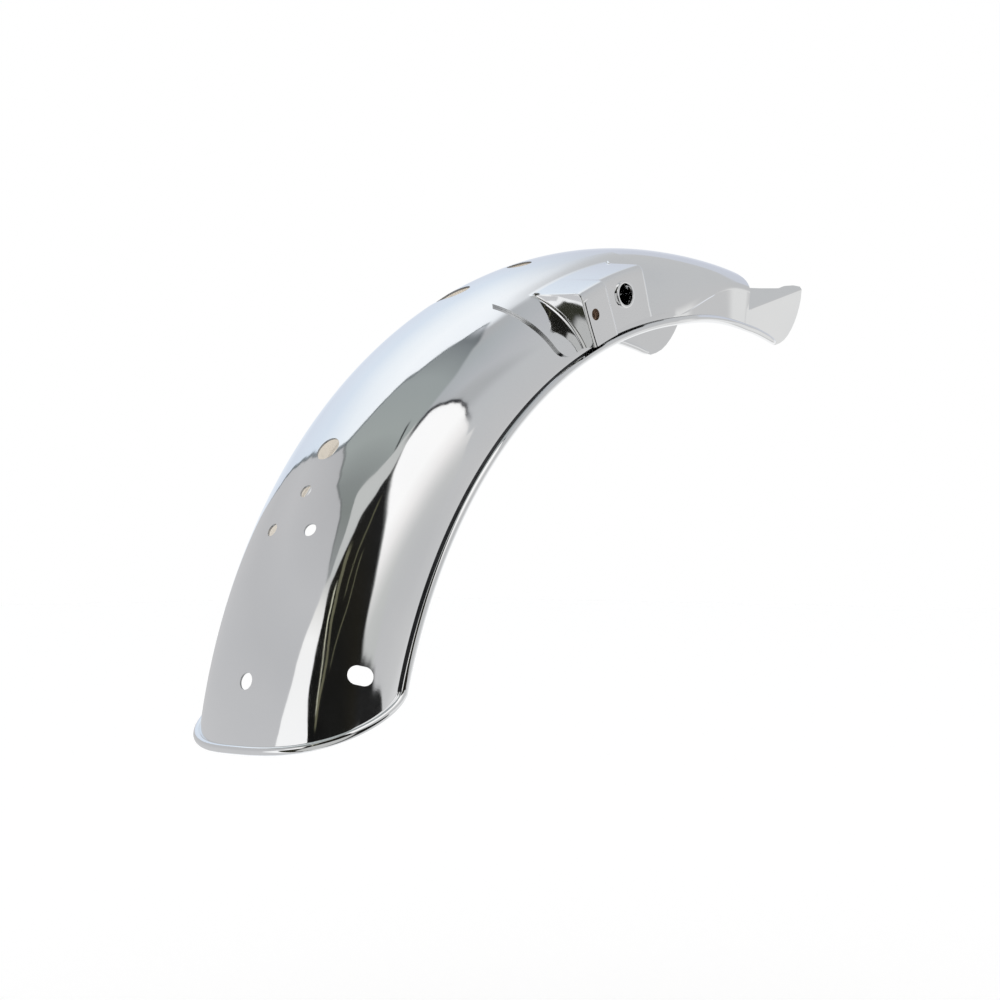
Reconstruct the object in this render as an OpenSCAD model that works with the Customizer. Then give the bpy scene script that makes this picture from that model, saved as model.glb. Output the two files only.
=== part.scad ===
// Motorcycle rear mudguard: one pressed and chromed blade with a rolled rim, and a pressed box
// bracket with a weld nut spot-welded on its right side. Millimetres.
// X points forward along the motorcycle, Y left, Z up. The zero point is on the axis of the
// bracket bolt, in the middle plane of the blade. Angles of the arc are measured at the wheel
// axle, from straight forward over the top to the rear.

/* [Blade] */
// Outer radius of the crown about the wheel axle
crown_radius = 312; // [306:1:320]
// Half of the outer width of the blade
half_width = 60; // [58:0.5:62]
// How far the rounded crown falls from its top to the side wall
crown_drop = 43.3; // [41:0.1:45]
// Height of the straight side wall below the rounded crown
skirt = 3; // [2:0.5:3.5]
// Thickness of the pressed sheet
sheet = 1; // [0.8:0.1:1.2]
// Radius of the rolled rim
rim_radius = 2.2; // [2:0.1:2.4]
// Where the even part of the arc begins, in degrees
arc_front = 100; // [99.5:0.25:100.5]
// Middle of the rounded tail, in degrees
tail_mid = 168.8; // [167:0.1:169]
// How far the tail reaches past its middle angle
tail_reach = 19; // [17:0.5:20]
// Length of the rounded tail corners
tail_corner = 36; // [34:1:38]
// Squareness of the tail corners, 2 is an ellipse
tail_square = 2.67; // [2.3:0.01:3]

/* [Front end] */
// Where the crown ends at the front, in degrees
crown_front = 81; // [80.5:0.25:82]
// Half of the outer width where the crown ends
front_half_width = 49; // [48:0.5:50]
// Fall of the flatter crown where it ends
front_drop = 20.8; // [20:0.1:22]
// How much higher the lower edge is where the crown ends
front_edge_rise = 3.3; // [3:0.1:3.6]
// Inward turn of each ear, in degrees
ear_turn = 3; // [2.5:0.1:3.5]
// Forward reach of the ear's lower corner from the axle
ear_corner_x = 73; // [71:0.5:74]
// How far the ear's lower corner lies below the top of the crown
ear_corner_drop = 52.5; // [51:0.5:53]
// Forward reach of the ear's tip from the axle
ear_tip_x = 105; // [102:0.5:107]
// How far the ear's tip lies below the top of the crown
ear_tip_drop = 16.5; // [15:0.5:18]
// How far the fold line's rear end lies below the top of the crown
fold_rear_drop = 34.5; // [33.5:0.5:35.5]
// Inward lean of the folded strip, in degrees
fold_lean = 30; // [24:1:36]
// Width of the folded strip at its rear end
fold_width = 15.5; // [14:0.5:16]

/* [Holes] */
// Radius of the round ends of the oval hole just left of the crown
oval_radius = 8; // [7.5:0.1:8.3]
// Distance between the two round ends of the oval hole
oval_travel = 14; // [12:0.5:16]
// Angle of the oval hole on the arc
oval_angle = 117.6; // [117:0.1:118.5]
// Distance of the oval hole to the left of the middle
oval_y = 17.5; // [16.5:0.25:17.75]
// Radius of the upper crown hole
upper_hole_radius = 7; // [6:0.1:8]
// Angle of the upper crown hole on the arc
upper_hole_angle = 109.6; // [109:0.1:110.5]
// Radius of the cable hole
cable_hole_radius = 6.8; // [6:0.1:7.5]
// Angle of the cable hole on the arc
cable_hole_angle = 143.1; // [142.5:0.1:143.5]
// Radius of the three lamp holes
lamp_hole_radius = 3.5; // [3:0.1:3.8]
// Angle of the single lamp hole on the arc
lamp_hole_angle = 147.9; // [147.4:0.1:148.4]
// Angle of the pair of lamp holes on the arc
lamp_pair_angle = 151.85; // [151.4:0.05:152.4]
// Distance between the pair of lamp holes
lamp_pair_spacing = 27; // [26:0.5:28]
// Radius of the single hole near the tail
tail_hole_radius = 4.2; // [4:0.1:4.5]
// Angle of the single hole near the tail
tail_hole_angle = 166.25; // [165.8:0.05:166.6]
// Half of the height of the two slots near the tail
slot_radius = 4.6; // [4.3:0.1:4.8]
// Distance between the two round ends of a slot
slot_travel = 3.5; // [3:0.5:4]
// Angle of the two slots on the arc
slot_angle = 164.4; // [164:0.1:164.8]
// Distance of each slot's middle in from the blade's side
slot_inset = 7; // [6.5:0.25:7.5]

/* [Side bracket] */
// Thickness of the bracket sheet
bracket_sheet = 1.5; // [1.4:0.1:1.6]
// Front edge of the bracket's welding flange on the arc, in degrees
flange_front = 100.8; // [100.7:0.1:101.4]
// Rear edge of the bracket's welding flange on the arc, in degrees
flange_rear = 120.7; // [120:0.1:121.2]
// Radius of the flange's lower rear corner
flange_corner = 9; // [8:0.5:10]
// How far the bolt pad's face stands out from the blade's side
pad_stand = 9; // [8:0.25:10]
// How far the front face stands out from the blade's side
front_face_stand = 5; // [4.5:0.25:5.5]
// How far the box's upper face lies below the top of the crown
box_drop = 11; // [10.5:0.1:11.5]
// Height of the bolt pad
pad_height = 29.5; // [29:0.1:30]
// Radius of the pressed edge between the box's upper face and its outer faces
box_round = 4; // [3:0.25:4.5]
// Rear wall of the box on the arc, in degrees
box_rear = 117.3; // [117.1:0.1:117.6]
// Step between the pad and the front face on the arc, in degrees
box_step = 112.2; // [111.9:0.1:112.4]
// Front wall of the box on the arc, in degrees
box_front = 104.2; // [103.8:0.1:104.6]
// Angle of the bolt axis on the arc
bolt_angle = 115.3; // [115.1:0.1:115.4]
// How far the bolt axis lies below the box's upper face
bolt_drop = 13.7; // [13.2:0.1:14.2]
// Radius of the clearance hole in the pad
pad_hole_radius = 3.1; // [3:0.1:3.3]
// Radius of the large hole in the front face
side_hole_radius = 5.8; // [5.4:0.1:6.2]
// Radius of the raised ring round the large hole
side_ring_radius = 7.4; // [7.1:0.1:7.6]
// How far that ring stands out of the front face
side_ring_height = 1.2; // [1:0.1:1.5]
// Angle of the large hole on the arc
side_hole_angle = 108.9; // [108.6:0.1:109.1]
// How far the large hole's axis lies below the box's upper face
side_hole_drop = 12.2; // [11.8:0.1:13]

/* [Weld nut] */
// Radius of the round weld nut
nut_radius = 5.5; // [5:0.1:6]
// Length of the weld nut
nut_length = 5; // [4:0.1:5.5]
// Radius of the nut's thread core, M6
nut_bore_radius = 2.5; // [2.4:0.05:2.6]

/* [Hidden] */
chrome = [0.82, 0.83, 0.85];
plain_steel = [0.45, 0.38, 0.32];
arc_steps = 180;
half_facets = 20;
rim_sides = 12;
side_wall_radius = crown_radius - crown_drop;
edge_radius = side_wall_radius - skirt;
rim_y = half_width - sheet + rim_radius - 0.4;
rim_at = edge_radius + 1;
tail_side = tail_reach - tail_corner;
rim_join = asin(tail_side / rim_at) + tail_mid;
tail_steps = 40;
loft_steps = 11;
lap = 0.4;
fold_rear_x = 44;
ear_rear_x = 38;
ear_corner_z = crown_radius - ear_corner_drop;
ear_tip_z = crown_radius - ear_tip_drop;
fold_rear_z = crown_radius - fold_rear_drop;
slot_y = half_width - slot_inset;
drill_length = 2 * half_width + crown_drop;
pad_y = half_width + pad_stand;
front_face_y = half_width + front_face_stand;
box_top = crown_radius - box_drop;
pad_bottom = box_top - pad_height;
bolt_radius = box_top - bolt_drop;
side_hole_at = box_top - side_hole_drop;
origin_x = bolt_radius * cos(bolt_angle);
origin_z = bolt_radius * sin(bolt_angle);
ledge_facet = 9;
flange_facet = 6;
flange_low_facet = 19;
facet_angle = 90 / half_facets;

// Points of the blade's cross section, given as [distance from the axle, distance to the right]
function shell(a, w, top, side, inset) = let(n = [w * cos(a), (top - side) * sin(a)])
    [side + (top - side) * cos(a), w * sin(a)] - inset * n / norm(n);
function section(w, top, side, low, t, e = 0) = concat(
    [[low + e, e - w]], [for (i = [-half_facets : half_facets]) shell(i * facet_angle, w, top, side, e)],
    [[low + e, w - e], [low + e, w - t + e]],
    [for (i = [half_facets : -1 : -half_facets]) shell(i * facet_angle, w, top, side, t - e)],
    [[low + e, -(w - t + e)]]);
function blend(u) = u * u * (3 - 2 * u);
function at(r, a, y) = [r * cos(a), -y, r * sin(a)];
function front_u(a) = blend(max(0, arc_front - a) / (arc_front - crown_front));
function front_w(a) = half_width - (half_width - front_half_width) * front_u(a);
function front_side(a) = side_wall_radius + (crown_drop - front_drop) * front_u(a);
function front_low(a) = edge_radius + front_edge_rise * front_u(a);
function tail_edge(y) = tail_reach
    - tail_corner * (1 - pow(max(0, 1 - pow(abs(y) / half_width, tail_square)), 1 / tail_square));

module revolve(from, to)
    rotate([90, 0, 0]) rotate([0, 0, from]) rotate_extrude(angle = to - from, $fn = arc_steps) children();

// Radial direction at one angle of the arc becomes up, along the axis of a hole there
module drill(a, y) rotate([90, 0, 0]) rotate([0, 0, a]) translate([side_wall_radius, 0, -y])
    rotate([0, 90, 0]) translate([0, 0, -half_width]) children();

// A tube along points, each with its own outward direction, its two end rings a little smaller
module tube(path, out, size, ends = 0) {
    n = len(path);
    rings = [for (i = [0 : n - 1])
        let(d = path[min(i + 1, n - 1)] - path[max(i - 1, 0)], t = d / norm(d),
            o = out[i] - (out[i] * t) * t, e = o / norm(o), b = cross(t, e),
            r = i == 0 || i == n - 1 ? size - ends : size)
        for (k = [0 : rim_sides - 1]) let(t = k * 360 / rim_sides) path[i] + r * (cos(t) * e + sin(t) * b)];
    sides = [for (i = [0 : n - 2], k = [0 : rim_sides - 1])
        let(a = i * rim_sides + k, b = i * rim_sides + (k + 1) % rim_sides)
        each [[a, a + rim_sides, b], [b, a + rim_sides, b + rim_sides]]];
    polyhedron(rings, concat([[for (k = [0 : rim_sides - 1]) k]], sides,
        [[for (k = [rim_sides - 1 : -1 : 0]) (n - 1) * rim_sides + k]]), convexity = 8);
}

// The even arc with its tail cut to a rounded outline
module arc_sheet() intersection() {
    revolve(arc_front, tail_mid + 6)
        polygon(section(half_width, crown_radius, side_wall_radius, edge_radius, sheet));
    rotate([90, 0, 0]) rotate([0, 0, tail_mid]) translate([40, 0, 0]) rotate([90, 0, 90])
        linear_extrude(crown_radius) polygon(concat(
            [for (x = [-1.3 * crown_radius, tail_side]) [x, -1.3 * half_width]],
            [for (i = [-24 : 24]) let(u = sin(i * 3.75)) [tail_edge(half_width * u), (half_width - sheet) * u]],
            [for (x = [tail_side, -1.3 * crown_radius]) [x, 1.3 * half_width]]));
}

// The narrowing front, where the crown gets flatter and the side walls taller
module front_sheet() {
    n = len(section(1, 2, 1, 0, 0.1));
    pts = [for (k = [0 : loft_steps]) let(a = k == 0 ? arc_front + lap : k == 1 ? arc_front - lap
            : arc_front - (k - 1) * (arc_front - crown_front) / (loft_steps - 1))
        for (p = section(front_w(a), crown_radius, front_side(a), front_low(a), sheet, k == 0 ? 0.15 : 0))
            at(p[0], a, p[1])];
    quads = [for (k = [0 : loft_steps - 1], i = [0 : n - 1]) let(a = k * n + i, b = k * n + (i + 1) % n)
        each [[a, a + n, b], [b, a + n, b + n]]];
    cap = [for (k = [0 : n / 2 - 2]) each [[k, k + 1, n - 2 - k], [k, n - 2 - k, n - 1 - k]]];
    polyhedron(pts, concat(cap, quads, [for (c = cap) [c[2], c[1], c[0]] + loft_steps * n * [1, 1, 1]]),
        convexity = 10);
}

// Rolled rim along both sides and round the tail
module rim() {
    for (s = [-1, 1]) revolve(arc_front, rim_join) translate([rim_at, s * rim_y])
        circle(r = rim_radius, $fn = rim_sides);
    lift = rim_y - half_width;
    start = [for (d = [-lap, lap]) [rim_at, rim_join + d, half_width, 90]];
    turn = [for (i = [tail_steps - 2 : -1 : 2 - tail_steps]) let(a = 90 * i / tail_steps, y = half_width * sin(a),
        r = side_wall_radius + crown_drop * cos(a) - (side_wall_radius - rim_at) * pow(sin(a), 12))
        [r, tail_mid + asin(tail_edge(y) / r), y, a]];
    bend = concat(start, turn, [for (i = [1, 0]) [start[i][0], start[i][1], -half_width, -90]]);
    norms = [for (p = bend) let(n = [half_width * cos(p[3]), crown_drop * sin(p[3])], u = n / norm(n))
        [u[0] * cos(p[1]), -u[1], u[0] * sin(p[1])]];
    tube([for (i = [0 : len(bend) - 1]) at(bend[i][0], bend[i][1], bend[i][2]) + lift * norms[i]], norms,
        rim_radius, 0.15);
    for (s = [-1, 1]) front_rim(s);
}

// Rolled rim of one side along the narrowing front and under the ear
module front_rim(s) {
    arc = [for (k = [0 : loft_steps - 1]) let(a = arc_front - k * (arc_front - crown_front) / (loft_steps - 1))
        at(front_low(a) + 1, a, s * (front_w(a) + lift_y()))];
    last = arc[len(arc) - 1];
    tip = [ear_corner_x - 3, -s * (ear_side(ear_corner_x - 3) + lift_y()), ear_corner_z + 1.6];
    path = concat(arc, [for (u = [0.33, 0.66, 1]) last + u * (tip - last)]);
    tube(path, [for (p = path) [0, -s, 0]], rim_radius);
}
function lift_y() = rim_y - half_width;
function ear_side(x) = front_half_width - (x - ear_rear_x) * tan(ear_turn);

// Flat ear in front of the crown, with a strip folded inward along its upper edge
module ear() {
    start_z = sqrt(pow(edge_radius + front_edge_rise, 2) - ear_rear_x * ear_rear_x);
    span = [ear_tip_x - fold_rear_x, ear_tip_z - fold_rear_z];
    slope = atan2(span[1], span[0]);
    low_x = crown_front_x(edge_radius + front_edge_rise);
    translate([ear_rear_x, -front_half_width, 0]) rotate([0, 0, ear_turn]) translate([-ear_rear_x, sheet, 0])
    rotate([90, 0, 0]) {
        linear_extrude(sheet) polygon(concat([[ear_rear_x, start_z + 1], [low_x + 4, start_z - 0.8]],
            [for (d = [-4, 0, 4]) [ear_corner_x + d, ear_corner_z + abs(d) / 4]],
            [for (u = [0.2 : 0.2 : 0.8]) let(x = ear_corner_x + 4, z = ear_corner_z + 1)
                [x + (ear_tip_x - x) * sin(90 * u) , z + (ear_tip_z - z) * (1 - cos(90 * u))]],
            [[ear_tip_x, ear_tip_z], [fold_rear_x, fold_rear_z], [ear_rear_x, fold_rear_z - 2]]));
        translate([fold_rear_x, fold_rear_z, sheet]) rotate([0, 0, slope]) rotate([-fold_lean, 0, 0])
            translate([0, -0.6, -sheet]) linear_extrude(sheet) polygon([[0.8, 0], [norm(span), 0],
                [norm(span) + 1, 2.5], [norm(span) - 15, 6.5], [norm(span) - 22, 6], [6, fold_width - 0.5],
                [4.6, fold_width], [0.8, fold_width - 2]]);
    }
}
function crown_front_x(r) = r * cos(crown_front);

module holes() {
    drill(oval_angle, oval_y) {
        for (e = [-1, 1]) translate([0, e * oval_travel / 2, 0])
            cylinder(r = oval_radius, h = drill_length, $fn = 48);
        translate([-oval_radius, -oval_travel / 2, 0]) cube([2 * oval_radius, oval_travel, drill_length]);
    }
    drill(upper_hole_angle, 0) cylinder(r = upper_hole_radius, h = drill_length, $fn = 48);
    drill(cable_hole_angle, 0) cylinder(r = cable_hole_radius, h = drill_length, $fn = 48);
    drill(lamp_hole_angle, 0) cylinder(r = lamp_hole_radius, h = drill_length, $fn = 36);
    for (s = [-1, 1]) square_to_sheet(lamp_pair_angle, s * lamp_pair_spacing / 2) translate([0, 0, -8])
        cylinder(r = lamp_hole_radius, h = 16, $fn = 36);
    drill(tail_hole_angle, 0) cylinder(r = tail_hole_radius, h = drill_length, $fn = 36);
    for (s = [-1, 1]) slot_cut(s);
}

// One slot, cut square to the rounded shoulder
module slot_cut(s) square_to_sheet(slot_angle, s * slot_y) {
    for (e = [-1, 1]) translate([-e * s * slot_travel / 2, 0, -8]) cylinder(r = slot_radius, h = 16, $fn = 36);
    translate([-slot_travel / 2, -slot_radius, -8]) cube([slot_travel, 2 * slot_radius, 16]);
}

// At one angle of the arc and one distance to the right, with up square to the outer face
module square_to_sheet(a, right) {
    turn = asin(right / half_width);
    lean = atan2(crown_drop * sin(turn), half_width * cos(turn));
    rotate([90, 0, 0]) rotate([0, 0, a]) translate([side_wall_radius + crown_drop * cos(turn), 0, right])
        rotate([0, 90 - lean, 0]) children();
}

module mudguard_blade() color(chrome) place() {
    difference() {
        union() {
            arc_sheet();
            front_sheet();
            rim();
            ear();
            mirror([0, 1, 0]) ear();
        }
        holes();
    }
}

// Pressed box bracket of the right side: a flange that lies on the blade, a box with the bolt pad
// and the front face, closed at the top, the rear and the front, and open below
module bracket() color(chrome) difference() {
    union() {
        intersection() {
            revolve(flange_front, flange_rear) polygon(flange_strip());
            flange_outline();
        }
        revolve(box_step, box_rear) polygon(box_profile(pad_y, pad_bottom));
        revolve(box_front, box_step + 0.15) polygon(box_profile(front_face_y, pad_bottom + 1));
        revolve(box_rear - 0.45, box_rear) polygon(box_wall(pad_y, pad_bottom));
        revolve(box_step, box_step + 0.45) polygon(box_step_wall());
        revolve(box_front, box_front + 0.45) polygon(box_wall(front_face_y, pad_bottom + 1));
        side_axis(side_hole_angle, side_hole_at) translate([0, 0, front_face_y - bracket_sheet])
            cylinder(r = side_ring_radius, h = bracket_sheet + side_ring_height, $fn = 48);
    }
    revolve(box_front + 0.3, box_step) polygon(box_inside(front_face_y));
    revolve(box_step + 0.3, box_rear - 0.3) polygon(box_inside(pad_y));
    side_axis(bolt_angle, bolt_radius) translate([0, 0, pad_y - 10])
        cylinder(r = pad_hole_radius, h = 20, $fn = 36);
    side_axis(side_hole_angle, side_hole_at) translate([0, 0, front_face_y - 10])
        cylinder(r = side_hole_radius, h = 20, $fn = 48);
}
module side_axis(a, r) translate([r * cos(a), 0, r * sin(a)]) rotate([90, 0, 0]) children();
function on_shell(i, out) = shell(i * facet_angle, half_width, crown_radius, side_wall_radius, -out);
function flange_strip() = concat([for (i = [flange_facet : flange_low_facet]) on_shell(i, 0)],
    [for (i = [flange_low_facet : -1 : flange_facet]) on_shell(i, bracket_sheet)]);
function box_edge(y, inset, from = 0, to = 90) = [for (u = [0 : 0.25 : 1]) let(t = from + u * (to - from))
    [box_top - box_round, y - box_round] + (box_round - inset) * [cos(t), sin(t)]];
function box_profile(y, low) = concat([on_shell(ledge_facet - 1, bracket_sheet * 0.8)], box_edge(y, 0),
    [[low, y], [low, y - bracket_sheet]], box_edge(y, bracket_sheet, 90, 0), [on_shell(ledge_facet, 0.4)]);
function box_wall(y, low) = concat([on_shell(ledge_facet, bracket_sheet / 2)], box_edge(y, 0.5), [[low, y - 0.5]],
    [for (i = [flange_low_facet : -1 : ledge_facet + 1]) on_shell(i, bracket_sheet / 2)]);
function box_step_wall() = concat(box_edge(pad_y, 0.5), [[pad_bottom, pad_y - 0.5],
    [pad_bottom, front_face_y - bracket_sheet], [box_top - 0.5, front_face_y - bracket_sheet]]);
function box_inside(y) = concat([for (p = box_edge(y, bracket_sheet)) p - [0.6, 0]],
    [for (w = [y - bracket_sheet, half_width + 0.3]) [edge_radius - 15, w]], [[side_wall_radius, half_width + 0.3]],
    [for (i = [flange_low_facet : -1 : ledge_facet + 2]) on_shell(i, -0.2)]);

// Outline of the welding flange as seen from the side, with a rounded lower rear corner
module flange_outline() {
    low = on_shell(flange_low_facet, 0)[0];
    turn = flange_corner / low * 180 / PI;
    rotate([90, 0, 0]) linear_extrude(90) polygon(concat(
        [for (a = [flange_front - 1 : 1 : flange_rear - turn]) low * [cos(a), sin(a)]],
        [for (u = [0 : 15 : 90]) let(a = flange_rear - turn * (1 - sin(u)), r = low + flange_corner * (1 - cos(u)))
            r * [cos(a), sin(a)]],
        [for (a = [flange_rear : -2 : flange_front - 1]) (crown_radius + 5) * [cos(a), sin(a)]]));
}

module weld_nut() color(plain_steel) side_axis(bolt_angle, bolt_radius)
    translate([0, 0, pad_y - bracket_sheet - nut_length]) difference() {
        cylinder(r = nut_radius, h = nut_length, $fn = 48);
        translate([0, 0, -1]) cylinder(r = nut_bore_radius, h = nut_length + 2, $fn = 36);
    }

module place() translate([-origin_x, 0, -origin_z]) children();
module side_bracket_right() place() bracket();
module weld_nut_right() place() weld_nut();

mudguard_blade();
side_bracket_right();
weld_nut_right();
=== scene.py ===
import bpy
import bmesh
import math
import numpy as np
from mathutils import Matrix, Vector


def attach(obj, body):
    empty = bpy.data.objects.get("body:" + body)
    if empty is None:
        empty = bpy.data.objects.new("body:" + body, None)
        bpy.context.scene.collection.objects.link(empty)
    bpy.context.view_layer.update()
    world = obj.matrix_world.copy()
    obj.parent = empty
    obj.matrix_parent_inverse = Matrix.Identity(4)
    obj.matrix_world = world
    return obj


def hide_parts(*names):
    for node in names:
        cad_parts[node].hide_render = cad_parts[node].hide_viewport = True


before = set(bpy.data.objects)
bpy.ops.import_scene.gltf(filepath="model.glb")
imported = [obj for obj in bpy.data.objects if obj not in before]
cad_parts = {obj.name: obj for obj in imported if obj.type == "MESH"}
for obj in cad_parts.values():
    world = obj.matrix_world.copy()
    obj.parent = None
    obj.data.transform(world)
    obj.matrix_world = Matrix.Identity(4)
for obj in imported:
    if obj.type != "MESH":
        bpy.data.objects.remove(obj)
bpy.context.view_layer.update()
scene = bpy.context.scene
scene.view_settings.view_transform = "Standard"

# Studio floor and room. A pale sheet of card lies well below the mudguard, and the room round it
# is white. Both are lit evenly, and the card keeps the soft shadow of the part.
FLOOR_HEIGHT = -0.42
FLOOR_REACH = 9.0
FLOOR_WHITE = (0.90, 0.90, 0.90, 1.0)
FLOOR_GLOW = 0.16

floor_mesh = bpy.data.meshes.new("studio_floor")
floor_mesh.from_pydata([(x * FLOOR_REACH, y * FLOOR_REACH, FLOOR_HEIGHT)
                        for x, y in ((-1, -1), (1, -1), (1, 1), (-1, 1))], [], [(0, 1, 2, 3)])
floor = bpy.data.objects.new("studio_floor", floor_mesh)
scene.collection.objects.link(floor)
floor.visible_glossy = False
card = bpy.data.materials.new("white_card")
card.use_nodes = True
nodes, links = card.node_tree.nodes, card.node_tree.links
nodes["Principled BSDF"].inputs["Base Color"].default_value = FLOOR_WHITE
nodes["Principled BSDF"].inputs["Roughness"].default_value = 0.9
nodes["Principled BSDF"].inputs["Emission Color"].default_value = (1, 1, 1, 1)
kind_of_ray = nodes.new("ShaderNodeLightPath")
glow = nodes.new("ShaderNodeMath")
glow.operation = "MULTIPLY"
glow.inputs[1].default_value = FLOOR_GLOW
links.new(kind_of_ray.outputs["Is Camera Ray"], glow.inputs[0])
links.new(glow.outputs[0], nodes["Principled BSDF"].inputs["Emission Strength"])
floor_mesh.materials.append(card)

# The room as polished metal sees it. It is drawn on a fisheye map with straight up at the centre, X
# forward and Y left: a window of pale sky with a thin dark frame, grey walls, a dark doorway with lit
# slats, a white lamp and a lit strip. Camera rays see plain white, and other light is even.
PLAIN_LIGHT = 0.95
MAP_REACH = 1.25
NADIR_STOP = 0.25

room = bpy.data.worlds.new("studio_room")
scene.world = room
room.use_nodes = True
nodes, links = room.node_tree.nodes, room.node_tree.links
nodes.clear()


def sum_of(kind, first, second=None, third=None):
    step = nodes.new("ShaderNodeMath")
    step.operation = kind
    for slot, value in enumerate((first, second, third)):
        if value is None:
            continue
        if isinstance(value, (int, float)):
            step.inputs[slot].default_value = value
        else:
            links.new(value, step.inputs[slot])
    return step.outputs[0]


look_at = nodes.new("ShaderNodeTexCoord").outputs["Generated"]
parts_of_look = nodes.new("ShaderNodeSeparateXYZ")
links.new(look_at, parts_of_look.inputs[0])
flattening = sum_of("MAXIMUM", sum_of("ADD", parts_of_look.outputs["Z"], 1.0), NADIR_STOP)
map_forward = sum_of("DIVIDE", parts_of_look.outputs["X"], flattening)
map_left = sum_of("DIVIDE", parts_of_look.outputs["Y"], flattening)
height = sum_of("MULTIPLY", sum_of("ARCSINE", parts_of_look.outputs["Z"]), 180 / math.pi)


def border(along, places):
    """Where a border runs at each place along one axis of the map, given as pairs on the map."""
    ramp = nodes.new("ShaderNodeValToRGB")
    ramp.color_ramp.interpolation = "CARDINAL"
    while len(ramp.color_ramp.elements) < len(places):
        ramp.color_ramp.elements.new(0.5)
    for stop, (place, where) in zip(ramp.color_ramp.elements, sorted(places)):
        stop.position = (place + MAP_REACH) / (2 * MAP_REACH)
        stop.color = ((where + MAP_REACH) / (2 * MAP_REACH),) * 3 + (1,)
    links.new(sum_of("MULTIPLY_ADD", along, 0.5 / MAP_REACH, 0.5), ramp.inputs[0])
    return sum_of("MULTIPLY_ADD", ramp.outputs["Color"], 2 * MAP_REACH, -MAP_REACH)


def soft_step(distance, softness):
    ease = nodes.new("ShaderNodeMapRange")
    ease.interpolation_type = "SMOOTHSTEP"
    ease.inputs["From Min"].default_value = -softness / 2
    ease.inputs["From Max"].default_value = softness / 2
    links.new(distance, ease.inputs["Value"])
    return ease.outputs["Result"]


def past(place, line, softness):
    return soft_step(sum_of("SUBTRACT", place, line), softness)


def short_of(place, line, softness):
    return soft_step(sum_of("SUBTRACT", line, place), softness)


def near(place, line, half_width, softness):
    away = sum_of("ABSOLUTE", sum_of("SUBTRACT", place, line))
    return soft_step(sum_of("SUBTRACT", half_width, away), softness)


def tone(along, low, high, places):
    """A colour that changes along one axis between low and high, given as (place, red, green, blue)."""
    ramp = nodes.new("ShaderNodeValToRGB")
    while len(ramp.color_ramp.elements) < len(places):
        ramp.color_ramp.elements.new(0.5)
    for stop, (place, red, green, blue) in zip(ramp.color_ramp.elements, sorted(places)):
        stop.position = (place - low) / (high - low)
        stop.color = (red, green, blue, 1)
    links.new(sum_of("MULTIPLY_ADD", along, 1 / (high - low), -low / (high - low)), ramp.inputs[0])
    return ramp.outputs["Color"]


def laid_over(under, colour, *covers, share=1.0):
    cover = covers[0]
    for other in covers[1:]:
        cover = sum_of("MULTIPLY", cover, other)
    mix = nodes.new("ShaderNodeMix")
    mix.data_type = "RGBA"
    links.new(sum_of("MULTIPLY", cover, share), mix.inputs["Factor"])
    links.new(under, mix.inputs["A"])
    if isinstance(colour, tuple):
        mix.inputs["B"].default_value = colour + (1,)
    else:
        links.new(colour, mix.inputs["B"])
    return mix.outputs["Result"]


room_tone = tone(height, -90, 90, [
    (-90, 0.50, 0.50, 0.50), (-30, 0.62, 0.62, 0.62), (-8, 0.88, 0.88, 0.88), (1, 0.60, 0.60, 0.60),
    (10, 0.56, 0.56, 0.565), (40, 0.54, 0.55, 0.56), (66, 0.50, 0.51, 0.53), (76, 0.46, 0.48, 0.50),
    (90, 0.40, 0.43, 0.44)])

# Rear left: a plain grey wall, and above it the darker slope that meets the zenith.
rear_wall = tone(height, -90, 90, [
    (-10, 0.60, 0.60, 0.61), (9, 0.56, 0.56, 0.57), (22, 0.53, 0.53, 0.54), (34, 0.55, 0.55, 0.56),
    (47, 0.50, 0.50, 0.51), (60, 0.44, 0.44, 0.45)])
drawn = laid_over(room_tone, rear_wall,
                  short_of(map_forward, border(map_left, [(0.0, 0.10), (0.3, 0.0), (0.8, 0.1)]), 0.2),
                  soft_step(map_left, 0.1))
slope_edge = border(map_forward, [
    (-0.75, -0.12), (-0.5, -0.05), (-0.25, -0.09), (-0.104, -0.081), (-0.053, -0.07), (-0.028, -0.0545),
    (0.012, -0.013), (0.042, 0.011), (0.08, 0.07)])
slope_foot = border(map_forward, [
    (-0.50, 0.0), (-0.458, 0.024), (-0.416, 0.052), (-0.376, 0.077), (-0.344, 0.103), (-0.309, 0.153),
    (-0.271, 0.216), (-0.239, 0.241), (-0.17, 0.30), (0.0, 0.40)])
slope_tone = tone(map_forward, -0.6, 0.2, [
    (-0.46, 0.30, 0.31, 0.31), (-0.34, 0.23, 0.25, 0.24), (-0.28, 0.25, 0.27, 0.265),
    (-0.18, 0.36, 0.39, 0.38), (-0.06, 0.34, 0.37, 0.37), (0.02, 0.22, 0.24, 0.25),
    (0.07, 0.10, 0.11, 0.12)])
slope_end = short_of(map_forward, 0.095, 0.03)
drawn = laid_over(drawn, slope_tone, past(map_left, slope_edge, 0.025),
                  short_of(map_left, slope_foot, 0.012), slope_end)
drawn = laid_over(drawn, (0.14, 0.15, 0.15), near(map_left, slope_foot, 0.006, 0.006), slope_end,
                  past(map_forward, -0.45, 0.04), short_of(map_forward, -0.10, 0.1), share=0.7)

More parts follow.
